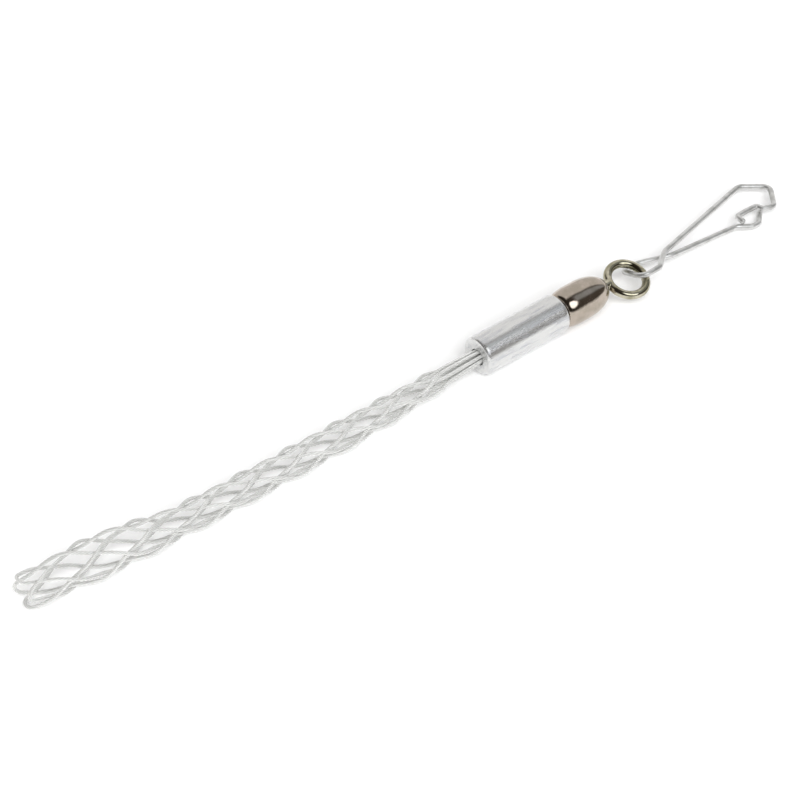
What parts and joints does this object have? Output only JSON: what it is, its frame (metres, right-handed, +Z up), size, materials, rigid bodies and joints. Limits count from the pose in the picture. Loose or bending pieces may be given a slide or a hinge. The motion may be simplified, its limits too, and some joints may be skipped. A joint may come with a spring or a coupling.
{
  "type": "cable pulling grip",
  "caption": "Small woven wire cable pulling grip with a crimped ferrule, a ball-bearing swivel and a spring wire clip.",
  "frame": {"origin": "middle of the tool's box, on the table it lies on", "axes": "+X along the tool from the sleeve's open end to the clip, +Z up"},
  "size_m": [0.1628, 0.0122, 0.007],
  "materials": {
    "galvanised_strand": "zinc-coated twisted wire",
    "polished_ferrule": "turned and polished",
    "dark_nickel": "dark nickel plate, glossy",
    "bearing_steel": "ground and polished",
    "spring_wire": "bright drawn wire"
  },
  "bodies": {
    "grip": {"mesh_strand_1": "galvanised_strand", "mesh_strand_2": "galvanised_strand", "mesh_strand_3": "galvanised_strand", "mesh_strand_4": "galvanised_strand", "crimp_ferrule": "polished_ferrule", "swivel_barrel": "dark_nickel", "tail_stud": "dark_nickel", "nose_race": "bearing_steel", "bearing_ball_1": "bearing_steel", "bearing_ball_2": "bearing_steel", "bearing_ball_3": "bearing_steel", "bearing_ball_4": "bearing_steel", "bearing_ball_5": "bearing_steel", "bearing_ball_6": "bearing_steel", "bearing_ball_7": "bearing_steel", "bearing_ball_8": "bearing_steel"},
    "eye": {"swivel_eye": "dark_nickel", "shank_collar": "dark_nickel", "collar_race": "bearing_steel"},
    "clip": {"snap_clip": "spring_wire"}
  },
  "joints": [
    {"name": "swivel_spin", "type": "hinge", "parent": "grip", "child": "eye", "pos_m": [0.03, -0.00117, 0.0035], "axis": [1, 0, 0], "continuous": true},
    {"name": "clip_round_ring", "type": "hinge", "parent": "eye", "child": "clip", "pos_m": [0.0399, -0.00201, 0.00324], "axis": [0, -0.2924, 0.9563], "range_deg": [-120, 110]}
  ]
}
